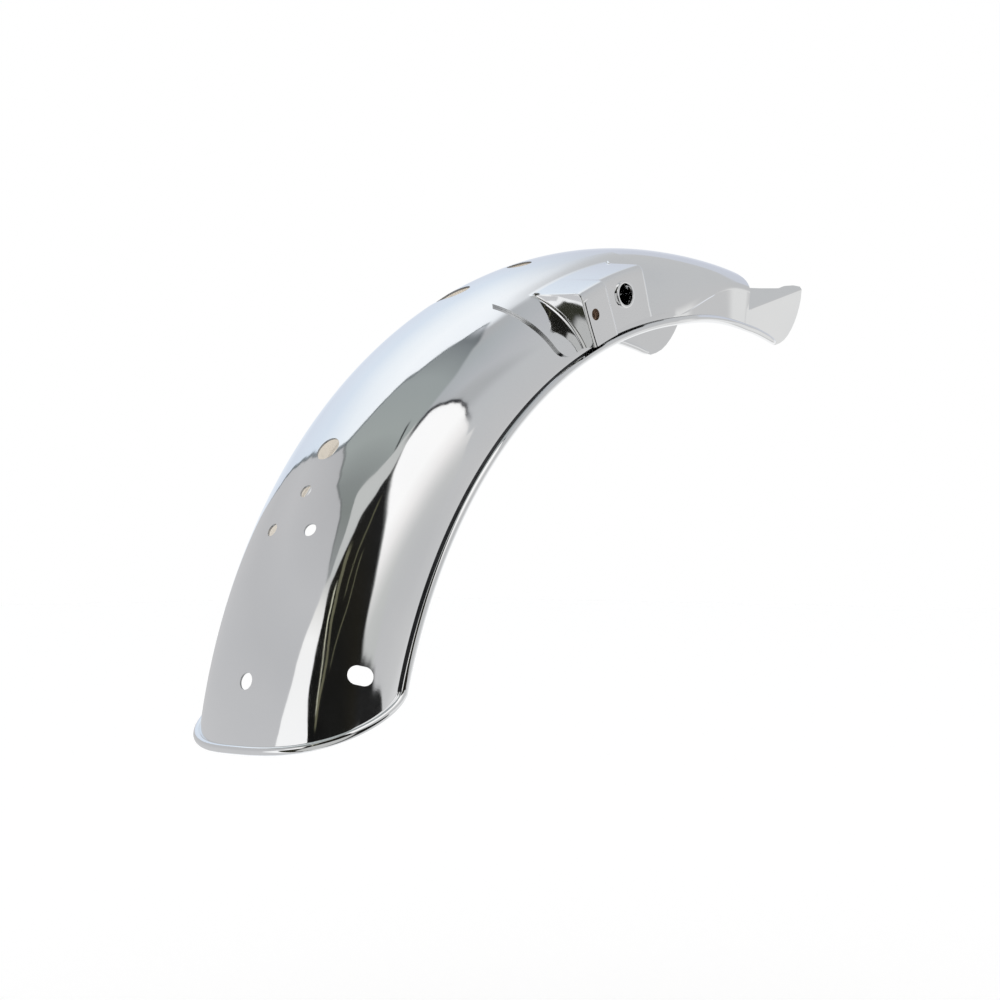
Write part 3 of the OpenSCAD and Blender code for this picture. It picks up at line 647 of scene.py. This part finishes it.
def bright_chrome(name, haze, ripple, pits, deep, clear):
    chrome = bpy.data.materials.new(name)
    chrome.use_nodes = True
    nodes, links = chrome.node_tree.nodes, chrome.node_tree.links
    metal = nodes["Principled BSDF"]
    metal.inputs["Metallic"].default_value = 1.0
    metal.inputs["Specular Tint"].default_value = (1.0, 1.0, 1.0, 1.0)
    place = nodes.new("ShaderNodeTexCoord").outputs["Object"]

    tint = nodes.new("ShaderNodeTexNoise")
    tint.inputs["Scale"].default_value = 14.0
    tint.inputs["Detail"].default_value = 3.0
    tint_colour = nodes.new("ShaderNodeValToRGB")
    tint_colour.color_ramp.elements[0].position = 0.35
    tint_colour.color_ramp.elements[0].color = deep + (1,)
    tint_colour.color_ramp.elements[1].position = 0.65
    tint_colour.color_ramp.elements[1].color = clear + (1,)
    links.new(place, tint.inputs["Vector"])
    links.new(tint.outputs["Fac"], tint_colour.inputs[0])
    links.new(tint_colour.outputs["Color"], metal.inputs["Base Color"])

    cloud = nodes.new("ShaderNodeTexNoise")
    cloud.inputs["Scale"].default_value = 55.0
    cloud.inputs["Detail"].default_value = 6.0
    cloud.inputs["Roughness"].default_value = 0.65
    rough = nodes.new("ShaderNodeMapRange")
    rough.inputs["From Min"].default_value = 0.3
    rough.inputs["From Max"].default_value = 0.75
    rough.inputs["To Min"].default_value = haze * 0.55
    rough.inputs["To Max"].default_value = haze * 1.6
    links.new(place, cloud.inputs["Vector"])
    links.new(cloud.outputs["Fac"], rough.inputs["Value"])
    links.new(rough.outputs["Result"], metal.inputs["Roughness"])

    press_marks = nodes.new("ShaderNodeTexNoise")
    press_marks.inputs["Scale"].default_value = 17.0
    press_marks.inputs["Detail"].default_value = 1.0
    orange_peel = nodes.new("ShaderNodeTexNoise")
    orange_peel.inputs["Scale"].default_value = 420.0
    orange_peel.inputs["Detail"].default_value = 2.0
    pit_cells = nodes.new("ShaderNodeTexVoronoi")
    pit_cells.inputs["Scale"].default_value = 95.0
    pit_cells.inputs["Randomness"].default_value = 1.0
    pit = nodes.new("ShaderNodeMapRange")
    pit.inputs["From Min"].default_value = 0.0
    pit.inputs["From Max"].default_value = 0.045
    for texture in (press_marks, orange_peel, pit_cells):
        links.new(place, texture.inputs["Vector"])
    links.new(pit_cells.outputs["Distance"], pit.inputs["Value"])
    last = None
    for value, strength, depth in ((press_marks.outputs["Fac"], 1.0, ripple),
                                   (orange_peel.outputs["Fac"], 1.0, PEEL_DEPTH),
                                   (pit.outputs["Result"], pits, PIT_DEPTH)):
        bump = nodes.new("ShaderNodeBump")
        bump.inputs["Strength"].default_value = strength
        bump.inputs["Distance"].default_value = depth
        links.new(value, bump.inputs["Height"])
        if last:
            links.new(last, bump.inputs["Normal"])
        last = bump.outputs["Normal"]
    links.new(last, metal.inputs["Normal"])
    return chrome


blade_chrome = bright_chrome("blade_chrome", 0.05, 0.0001, 0.25, CHROME_DEEP, CHROME_CLEAR)
inner_nickel = bright_chrome("inner_nickel", 0.34, 0.0001, 0.6, (0.88, 0.80, 0.69), (0.92, 0.86, 0.77))
cut_edge = bright_chrome("cut_edge", 0.34, 0.00005, 0.2, (0.36, 0.37, 0.38), (0.46, 0.47, 0.48))
# Painted shade: a near-black chrome for the rim faces in the crease where the bead meets the blade's wall,
# standing in for the dark line of shade there.
groove_painted_shade = bright_chrome("groove_painted_shade", 0.5, 0.00005, 0.2, (0.045, 0.046, 0.05), (0.09, 0.09, 0.095))

blade_mesh.name = "mudguard_blade_dressed"
blade_mesh.shade_smooth()
blade_mesh.set_sharp_from_angle(angle=math.radians(38))
ALONG_SHEET, INSIDE_FACE, ACROSS_EDGE = 0.93, -0.6, 0.5
GROOVE_BESIDE, GROOVE_UP, GROOVE_UP_IN_FRONT = (-0.2, 1.35), 150, 90
loops = len(blade_mesh.loops)
shading = np.zeros(loops * 3, np.float32)
blade_mesh.corner_normals.foreach_get("vector", shading)
shading = shading.reshape(-1, 3)
corner_vertex = np.zeros(loops, np.int32)
blade_mesh.loops.foreach_get("vertex_index", corner_vertex)
spots = np.zeros(len(blade_mesh.vertices) * 3, np.float32)
blade_mesh.vertices.foreach_get("co", spots)
spots = spots.reshape(-1, 3).astype(float) * 1000 + ZERO
face_count = len(blade_mesh.polygons)
face_ways = np.zeros(face_count * 3, np.float32)
blade_mesh.polygons.foreach_get("normal", face_ways)
face_ways = face_ways.reshape(-1, 3)
face_sizes = np.zeros(face_count, np.int32)
blade_mesh.polygons.foreach_get("loop_total", face_sizes)
face_of_corner = np.repeat(np.arange(face_count), face_sizes)
angles = np.degrees(np.arctan2(spots[:, 2], spots[:, 0]))
true_way = outward(spots)
agree = (true_way[corner_vertex] * face_ways[face_of_corner]).sum(1)
on_pressing = face_of_corner < rim_first_face
on_sheet = on_pressing & (angles[corner_vertex] > CROWN_FRONT + 0.5) & (np.abs(agree) > ALONG_SHEET)
shading[on_sheet] = (true_way[corner_vertex] * np.sign(agree)[:, None])[on_sheet]
blade_mesh.normals_split_custom_set([tuple(n) for n in shading.astype(float)])
blade_mesh.materials.clear()
for finish in (blade_chrome, inner_nickel, cut_edge, groove_painted_shade):
    blade_mesh.materials.append(finish)
finish_of_face = np.zeros(face_count, np.int32)
on_arc_sheet = on_pressing & (angles[corner_vertex] > CROWN_FRONT + 0.2)
finish_of_face[face_of_corner[on_arc_sheet & (agree < INSIDE_FACE)]] = 1
cut_corners = on_arc_sheet & (np.abs(agree) < ACROSS_EDGE)
edge_on = np.bincount(face_of_corner, weights=cut_corners, minlength=face_count)
finish_of_face[edge_on == face_sizes] = 2
middles = np.zeros(face_count * 3, np.float32)
blade_mesh.polygons.foreach_get("center", middles)
middles = middles.reshape(-1, 3) * 1000 + ZERO
turn_of_middle = np.degrees(np.arctan2(middles[:, 2], middles[:, 0]))
wall_of_middle = np.where(turn_of_middle > CROWN_FRONT, width_at(turn_of_middle),
                          ear_half_width(middles[:, 0]))
beside = np.abs(middles[:, 1]) - wall_of_middle
facing_out = (face_ways * np.stack([middles[:, 0], 0 * beside, middles[:, 2]], 1)).sum(1)
# Painted shade: the rim faces beside the wall that face up into the crease take the near-black groove finish.
groove_shade_faces = (np.arange(face_count) >= rim_first_face) & (turn_of_middle < rim_joins)
groove_shade_faces &= (beside > GROOVE_BESIDE[0]) & (beside < GROOVE_BESIDE[1])
groove_shade_faces &= facing_out > np.where(turn_of_middle < CROWN_FRONT + 4, GROOVE_UP_IN_FRONT, GROOVE_UP)
finish_of_face[groove_shade_faces] = 3
blade_mesh.polygons.foreach_set("material_index", finish_of_face)
blade = bpy.data.objects.new("chromed_blade_pressing", blade_mesh)
scene.collection.objects.link(blade)
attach(blade, "root")
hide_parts("mudguard_blade")

# Side bracket, on the right: it is pressed from 1.5 mm sheet and spot-welded to the blade by a wide
# flange. Its box stands out to a flat bolt pad and a lower front face, and it is open below.
RIGHT = -1
PLATE = 1.5
FLANGE_FRONT, FLANGE_REAR, FLANGE_CORNER = 100.8, 120.7, 9.0
BOX_REAR, BOX_STEP, BOX_FRONT = 117.3, 112.2, 104.2
PAD_OUT, FRONT_OUT, BOX_TOP, PAD_LOW = 69.0, 65.0, 301.0, 271.5
FLANGE_TOP_TURN, LEDGE_TURN, FLANGE_LOW_TURN = 27.0, 38.0, 85.5
PAD_HOLE, SIDE_HOLE, SIDE_RING, RING_HEIGHT = 3.1, 5.8, 7.4, 1.2
SIDE_HOLE_ANGLE, SIDE_HOLE_AT = 108.9, 288.8
BASE_ROUND, EDGE_ROUND, TOP_ROUND, WALL_TURN = 2.2, 1.8, 4.0, math.radians(84)
PLATE_SLACK, FOOT_CLEAR, WALL_CLEAR, STEP_CLEAR = 0.05, 0.35, 1.1, 0.55
bracket_chrome = bright_chrome("bracket_chrome", 0.07, 0.00012, 0.35, CHROME_DEEP, CHROME_CLEAR)
# The plate's cut edges take a darker grey chrome. This is partly the duller cut edge itself and partly
# painted shade for the dark gap line along the flange's outline.
plate_edge = bright_chrome("plate_edge", 0.25, 0.00005, 0.2, (0.52, 0.53, 0.54), (0.62, 0.63, 0.64))


def on_flange(turn, lift):
    """Radius and distance out of a line that lies on the blade's rounded side, raised by lift."""
    across, rise = HALF_WIDTH * math.cos(turn), CROWN_DROP * math.sin(turn)
    size = math.hypot(across, rise)
    return np.array([SHOULDER + CROWN_DROP * math.cos(turn) + lift * across / size,
                     HALF_WIDTH * math.sin(turn) + lift * rise / size])


def turn_at_radius(radius, lift):
    low, high = 0.0, math.pi / 2
    for _ in range(40):
        middle = (low + high) / 2
        low, high = (middle, high) if on_flange(middle, lift)[0] > radius else (low, middle)
    return low


def box_section(face_out, low):
    """Points of the box in section from the flange's top edge down to the open lower edge."""
    above = [on_flange(t, PLATE) for t in np.radians(np.linspace(FLANGE_TOP_TURN, LEDGE_TURN, 7))]
    start, corner = above[-1], np.array([BOX_TOP, face_out])
    lengthways = (corner - start) / np.linalg.norm(corner - start)
    ledge = [start + lengthways * d for d in np.linspace(1.2, np.linalg.norm(corner - start) - TOP_ROUND, 9)]
    leave, land = ledge[-1], np.array([corner[0] - TOP_ROUND, corner[1]])
    rounding = [(1 - t) ** 2 * leave + 2 * t * (1 - t) * corner + t * t * land
                for t in np.linspace(0, 1, 9)[1:]]
    face = [np.array([r, face_out]) for r in np.linspace(land[0], low, 12)[1:]]
    return np.array(above + ledge + rounding + face)


pad_line, front_line_out = box_section(PAD_OUT, PAD_LOW), box_section(FRONT_OUT, PAD_LOW + 1.0)
flat_columns = 7


def flange_section(guide, low_radius=None):
    """The same columns where the sheet lies on the blade, at the heights of a box section."""
    low = on_flange(math.radians(FLANGE_LOW_TURN), PLATE)[0] if low_radius is None else low_radius
    first, last = guide[flat_columns][0], guide[-1][0]
    out = [p for p in guide[:flat_columns]]
    for radius in guide[flat_columns:, 0]:
        lowered = low + (radius - last) * (first - low) / (first - last)
        out.append(on_flange(turn_at_radius(lowered, PLATE), PLATE))
    return np.array(out)


def wall_profile(height, steps=6):
    """Sideways distance and height of a pressed wall: a fillet at its foot, a steep face, a round top."""
    foot, top = min(BASE_ROUND, height * 0.45), min(EDGE_ROUND, height * 0.4)
    turns = np.linspace(0, WALL_TURN, steps)
    foot_part = [(foot * math.sin(t), foot * (1 - math.cos(t))) for t in turns]
    slope = math.tan(WALL_TURN)
    top_rise = top * (1 - math.cos(turns[-1]))
    straight = (height - foot_part[-1][1] - top_rise) / slope
    x, h = foot_part[-1][0] + straight, height - top_rise
    top_part = [(x + top * (math.sin(turns[-1]) - math.sin(t)), h + top * (math.cos(t) - math.cos(turns[-1])))
                for t in turns[::-1]]
    return foot_part + [((foot_part[-1][0] + x) / 2, (foot_part[-1][1] + h) / 2)] + top_part


wall_steps = len(wall_profile(10.0))
flange_low = on_flange(math.radians(FLANGE_LOW_TURN), PLATE)[0]
corner_turn = math.degrees(FLANGE_CORNER / flange_low)


def wall_rows(angle, section, towards):
    """Rows of points that climb from the flange at an angle up to the box section."""
    foot_section = flange_section(section)
    rows = []
    for step in range(wall_steps):
        row = []
        for column in range(len(section)):
            base, top = foot_section[column], section[column]
            height = np.linalg.norm(top - base)
            if column < flat_columns or height < 0.05:
                row.append((top[0], top[1], angle + towards * 0.2 * step / 5))
                continue
            sideways, raised = wall_profile(height)[step]
            spot = base + (top - base) * raised / height
            row.append((spot[0], spot[1], angle + towards * math.degrees(sideways / spot[0])))
        rows.append(row)
    return rows


bracket_rows = []
rear_flat = np.concatenate([FLANGE_REAR - corner_turn * (1 - np.sin(np.radians(np.linspace(90, 0, 10)))),
                            np.linspace(FLANGE_REAR - corner_turn, BOX_REAR + FOOT_CLEAR, 4)[1:]])
for angle in rear_flat:
    share = min(1.0, max(0.0, 1 - (FLANGE_REAR - angle) / corner_turn))
    low = flange_low + FLANGE_CORNER * (1 - math.cos(math.asin(min(1.0, share))))
    bracket_rows.append([(r, y, angle) for r, y in flange_section(pad_line, low)])
bracket_rows += wall_rows(BOX_REAR, pad_line, -1)
for angle in np.linspace(BOX_REAR - WALL_CLEAR, BOX_STEP + STEP_CLEAR, 9):
    bracket_rows.append([(r, y, angle) for r, y in pad_line])
for share in np.linspace(0.08, 0.92, 9):
    eased = share * share * (3 - 2 * share)
    between = pad_line + eased * (front_line_out - pad_line)
    bracket_rows.append([(r, y, BOX_STEP + 0.45 - 0.9 * share) for r, y in between])
for angle in np.linspace(BOX_STEP - STEP_CLEAR, BOX_FRONT + WALL_CLEAR, 12):
    bracket_rows.append([(r, y, angle) for r, y in front_line_out])
bracket_rows += wall_rows(BOX_FRONT, front_line_out, 1)[::-1]
for angle in np.linspace(BOX_FRONT - FOOT_CLEAR, FLANGE_FRONT, 6):
    bracket_rows.append([(r, y, angle) for r, y in flange_section(front_line_out)])

press = bmesh.new()
grid = [[press.verts.new(tuple((on_arc(r, a, RIGHT * y) - ZERO) / 1000)) for r, y, a in row]
        for row in bracket_rows]
for row, after in zip(grid, grid[1:]):
    for c in range(len(row) - 1):
        quad = (row[c], row[c + 1], after[c + 1], after[c])
        press.faces.new(quad[::-1])
plate_mesh = bpy.data.meshes.new("bracket_plate")
press.to_mesh(plate_mesh)
press.free()
plate_mesh.materials.append(bracket_chrome)
plate_mesh.materials.append(plate_edge)
middle = plate_mesh.polygons[len(plate_mesh.polygons) // 2]
if middle.normal.y * RIGHT < 0:
    plate_mesh.flip_normals()
plate = bpy.data.objects.new("bracket_plate", plate_mesh)
scene.collection.objects.link(plate)
thicken = plate.modifiers.new("thickness", "SOLIDIFY")
thicken.thickness = (PLATE - PLATE_SLACK) / 1000
thicken.offset = -1.0
# The rim faces of the plate take the darker edge finish, which is partly painted shade.
thicken.material_offset_rim = 1
pad_spot = about_zero(on_arc(BOLT_RADIUS, BOLT_ANGLE, RIGHT * PAD_OUT))
side_spot = about_zero(on_arc(SIDE_HOLE_AT, SIDE_HOLE_ANGLE, RIGHT * FRONT_OUT))
pins = [punch("pad_punch", pad_spot, (0, 1, 0), (1, 0, 0), PAD_HOLE, 0.0, 5),
        punch("side_punch", side_spot, (0, 1, 0), (1, 0, 0), SIDE_HOLE, 0.0, 5)]
for pin in pins:
    cut = plate.modifiers.new(pin.name, "BOOLEAN")
    cut.operation = "DIFFERENCE"
    cut.object = pin
    cut.solver = "EXACT"
bpy.context.view_layer.update()
drilled = plate.evaluated_get(bpy.context.evaluated_depsgraph_get())
bracket_mesh = bpy.data.meshes.new_from_object(drilled)
bpy.data.objects.remove(plate)
for pin in pins:
    bpy.data.objects.remove(pin)
collar = bmesh.new()
collar.from_mesh(bracket_mesh)
lip = [(SIDE_HOLE, -PLATE), (SIDE_HOLE, RING_HEIGHT - 0.35), (SIDE_HOLE + 0.12, RING_HEIGHT - 0.1),
       (SIDE_HOLE + 0.35, RING_HEIGHT), (SIDE_RING - 0.5, RING_HEIGHT),
       (SIDE_RING - 0.15, RING_HEIGHT - 0.15), (SIDE_RING, RING_HEIGHT - 0.5), (SIDE_RING, -0.4)]
centre = on_arc(SIDE_HOLE_AT, SIDE_HOLE_ANGLE, RIGHT * FRONT_OUT) - ZERO
circles = [[collar.verts.new(tuple((centre + [r * math.cos(t), RIGHT * out, r * math.sin(t)]) / 1000))
            for t in np.linspace(0, 2 * math.pi, HOLE_SIDES, endpoint=False)] for r, out in lip]
ring_faces = [collar.faces.new((a[k], a[(k + 1) % HOLE_SIDES], b[(k + 1) % HOLE_SIDES], b[k]))
              for a, b in zip(circles, circles[1:] + circles[:1]) for k in range(HOLE_SIDES)]
bmesh.ops.recalc_face_normals(collar, faces=ring_faces)
collar.to_mesh(bracket_mesh)
collar.free()
bracket_mesh.shade_smooth()
bracket_mesh.set_sharp_from_angle(angle=math.radians(40))
bracket = bpy.data.objects.new("chromed_side_bracket", bracket_mesh)
scene.collection.objects.link(bracket)
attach(bracket, "root")
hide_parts("side_bracket_right")

# Weld nut: a turned round nut with an M6 thread is projection-welded behind the pad before plating.
# The plating doesn't reach into the thread, which has gone brown.
NUT_RADIUS, NUT_LENGTH, THREAD_CORE, THREAD_CREST, PITCH = 5.5, 5.0, 2.5, 3.1, 1.0

brown_steel = bpy.data.materials.new("browned_steel")
brown_steel.use_nodes = True
nodes, links = brown_steel.node_tree.nodes, brown_steel.node_tree.links
steel = nodes["Principled BSDF"]
steel.inputs["Metallic"].default_value = 0.75
rust_cloud = nodes.new("ShaderNodeTexNoise")
rust_cloud.inputs["Scale"].default_value = 900.0
rust_cloud.inputs["Detail"].default_value = 5.0
rust_tone = nodes.new("ShaderNodeValToRGB")
rust_tone.color_ramp.elements[0].position = 0.3
rust_tone.color_ramp.elements[0].color = (0.16, 0.085, 0.05, 1)
rust_tone.color_ramp.elements[1].position = 0.7
rust_tone.color_ramp.elements[1].color = (0.42, 0.29, 0.21, 1)
rust_rough = nodes.new("ShaderNodeMapRange")
rust_rough.inputs["To Min"].default_value = 0.3
rust_rough.inputs["To Max"].default_value = 0.6
rust_bump = nodes.new("ShaderNodeBump")
rust_bump.inputs["Strength"].default_value = 0.5
rust_bump.inputs["Distance"].default_value = 0.00004
links.new(nodes.new("ShaderNodeTexCoord").outputs["Object"], rust_cloud.inputs["Vector"])
links.new(rust_cloud.outputs["Fac"], rust_tone.inputs[0])
links.new(rust_tone.outputs["Color"], steel.inputs["Base Color"])
links.new(rust_cloud.outputs["Fac"], rust_rough.inputs["Value"])
links.new(rust_rough.outputs["Result"], steel.inputs["Roughness"])
links.new(rust_cloud.outputs["Fac"], rust_bump.inputs["Height"])
links.new(rust_bump.outputs["Normal"], steel.inputs["Normal"])

nut = bmesh.new()
around, thread_steps, back = 48, 40, PAD_OUT - PLATE - NUT_LENGTH
outer = [(THREAD_CREST + 0.1, 0.0), (NUT_RADIUS - 0.5, 0.0), (NUT_RADIUS, 0.4),
         (NUT_RADIUS, NUT_LENGTH - 0.4), (NUT_RADIUS - 0.5, NUT_LENGTH), (THREAD_CREST + 0.1, NUT_LENGTH)]
rows = [[(r, out)] * around for r, out in outer]
for step in range(thread_steps, -1, -1):
    row = []
    for k in range(around):
        out = NUT_LENGTH * step / thread_steps
        wave = abs(((out / PITCH + k / around) % 1.0) * 2 - 1)
        depth = min(1.0, min(out, NUT_LENGTH - out) / 0.5)
        row.append((THREAD_CREST - (THREAD_CREST - THREAD_CORE) * wave * depth, out))
    rows.append(row)
centre = on_arc(BOLT_RADIUS, BOLT_ANGLE, 0.0) - ZERO
rings = [[nut.verts.new(tuple((centre + [r * math.cos(2 * math.pi * k / around), RIGHT * (back + out),
                                         r * math.sin(2 * math.pi * k / around)]) / 1000))
          for k, (r, out) in enumerate(row)] for row in rows]
for a, b in zip(rings, rings[1:] + rings[:1]):
    for k in range(around):
        nut.faces.new((a[k], a[(k + 1) % around], b[(k + 1) % around], b[k]))
bmesh.ops.recalc_face_normals(nut, faces=nut.faces)
nut_mesh = bpy.data.meshes.new("threaded_nut")
nut.to_mesh(nut_mesh)
nut.free()
nut_mesh.shade_smooth()
nut_mesh.set_sharp_from_angle(angle=math.radians(35))
nut_mesh.materials.append(brown_steel)
threaded = bpy.data.objects.new("threaded_weld_nut", nut_mesh)
scene.collection.objects.link(threaded)
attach(threaded, "root")
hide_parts("weld_nut_right")
